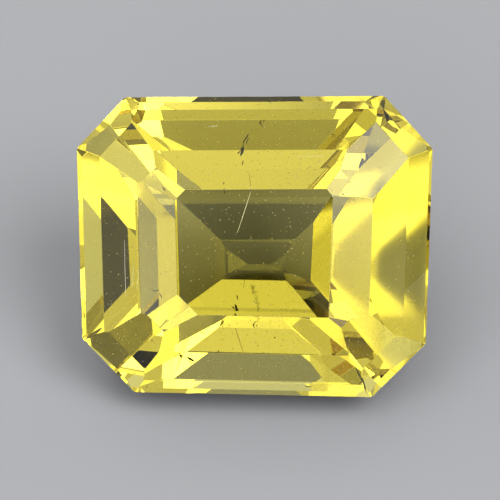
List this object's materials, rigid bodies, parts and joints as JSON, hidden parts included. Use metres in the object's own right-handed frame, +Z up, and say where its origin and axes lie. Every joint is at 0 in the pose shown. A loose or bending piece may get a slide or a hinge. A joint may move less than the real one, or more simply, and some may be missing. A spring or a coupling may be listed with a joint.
{
  "type": "faceted gemstone",
  "caption": "Loose clear yellow scapolite in a step cut with cut corners, a broad table and a deep pavilion.",
  "frame": {"origin": "middle of the box, on the surface that the stone lies on", "axes": "+X along the stone's length, +Z up, the table facing up and towards -Y"},
  "size_m": [0.011, 0.0076, 0.0076],
  "materials": {
    "scapolite": "polished clear yellow crystal"
  },
  "bodies": {
    "root": {"cut_stone": "scapolite"}
  },
  "joints": []
}
